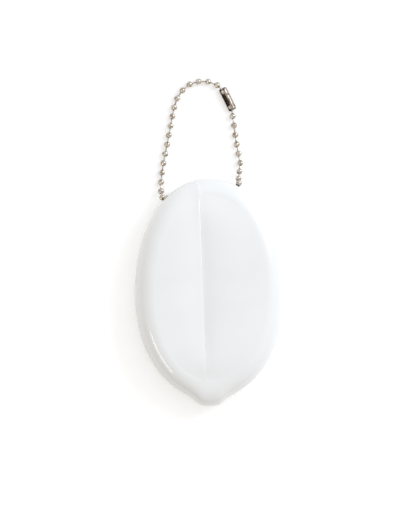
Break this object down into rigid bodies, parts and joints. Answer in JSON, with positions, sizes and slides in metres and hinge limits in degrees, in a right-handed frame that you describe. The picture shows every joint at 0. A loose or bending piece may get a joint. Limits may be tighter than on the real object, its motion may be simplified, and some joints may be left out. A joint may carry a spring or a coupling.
{
  "type": "squeeze coin purse",
  "caption": "Oval moulded squeeze coin purse with a slit face that opens like a mouth and a loop of ball chain through its rim.",
  "frame": {"origin": "on the flat back, where the purse's long middle line crosses its widest line", "axes": "+Z out of the slit face, +Y towards the ball chain, +X to the right as the slit face is seen with the chain up"},
  "size_m": [0.056, 0.1238, 0.014],
  "materials": {
    "white_vinyl": "glossy moulded soft vinyl",
    "nickel_steel": "bright nickel plating"
  },
  "bodies": {
    "purse": {"rear_shell": "white_vinyl", "bead_19": "nickel_steel", "bead_20": "nickel_steel", "bead_21": "nickel_steel", "bead_22": "nickel_steel", "bead_23": "nickel_steel", "bead_24": "nickel_steel", "bead_25": "nickel_steel", "bead_26": "nickel_steel", "bead_27": "nickel_steel", "bead_28": "nickel_steel", "links_purse": "nickel_steel"},
    "left_lip": {"left_lip": "white_vinyl"},
    "right_lip": {"right_lip": "white_vinyl"},
    "loop_foot": {"bead_16": "nickel_steel", "bead_17": "nickel_steel", "bead_18": "nickel_steel", "bead_29": "nickel_steel", "bead_30": "nickel_steel", "links_foot": "nickel_steel"},
    "loop_low": {"bead_13": "nickel_steel", "bead_14": "nickel_steel", "bead_15": "nickel_steel", "bead_31": "nickel_steel", "bead_32": "nickel_steel", "links_low": "nickel_steel"},
    "loop_mid": {"bead_11": "nickel_steel", "bead_12": "nickel_steel", "bead_33": "nickel_steel", "bead_34": "nickel_steel", "links_mid": "nickel_steel"},
    "loop_high": {"bead_09": "nickel_steel", "bead_10": "nickel_steel", "bead_35": "nickel_steel", "links_high": "nickel_steel"},
    "loop_crown": {"bead_01": "nickel_steel", "bead_02": "nickel_steel", "bead_03": "nickel_steel", "bead_04": "nickel_steel", "bead_05": "nickel_steel", "bead_06": "nickel_steel", "bead_07": "nickel_steel", "bead_08": "nickel_steel", "bead_36": "nickel_steel", "bead_37": "nickel_steel", "links_crown": "nickel_steel"},
    "coupling": {"coupling": "nickel_steel"}
  },
  "joints": [
    {"name": "left_lip_open", "type": "hinge", "parent": "purse", "child": "left_lip", "pos_m": [-0.02758, 0, 0.0094], "axis": [0, -1, 0], "range_deg": [0, 45], "stiffness_Nm_per_rad": 0.02},
    {"name": "right_lip_open", "type": "hinge", "parent": "purse", "child": "right_lip", "pos_m": [0.02758, 0, 0.0094], "axis": [0, 1, 0], "range_deg": [0, 45], "stiffness_Nm_per_rad": 0.02},
    {"name": "loop_foot_fold", "type": "hinge", "parent": "purse", "child": "loop_foot", "pos_m": [-0.00273, 0.03835, 0.00664], "axis": [0.9754, 0.2204, 0.0017], "range_deg": [0, 20]},
    {"name": "loop_low_fold", "type": "hinge", "parent": "loop_foot", "child": "loop_low", "pos_m": [-0.00303, 0.04479, 0.00166], "axis": [0.9908, 0.1316, 0.0305], "range_deg": [-20, 20]},
    {"name": "loop_mid_fold", "type": "hinge", "parent": "loop_low", "child": "loop_mid", "pos_m": [-0.00247, 0.0536, 0.0012], "axis": [1, 0.0087, 0], "range_deg": [-20, 20]},
    {"name": "loop_high_fold", "type": "hinge", "parent": "loop_mid", "child": "loop_high", "pos_m": [-0.00238, 0.06069, 0.0012], "axis": [0.9999, 0.0108, 0], "range_deg": [-20, 20]},
    {"name": "loop_crown_fold", "type": "hinge", "parent": "loop_high", "child": "loop_crown", "pos_m": [-0.00198, 0.06601, 0.00122], "axis": [0.9902, -0.1397, 0.0014], "range_deg": [-20, 20]},
    {"name": "coupling_turn", "type": "hinge", "parent": "loop_crown", "child": "coupling", "pos_m": [0.00727, 0.07326, 0.00155], "axis": [0.4439, -0.8961, -0.0046], "continuous": true}
  ],
  "couplings": [
    {"joint": "right_lip_open", "follows": "left_lip_open", "ratio": 1}
  ]
}
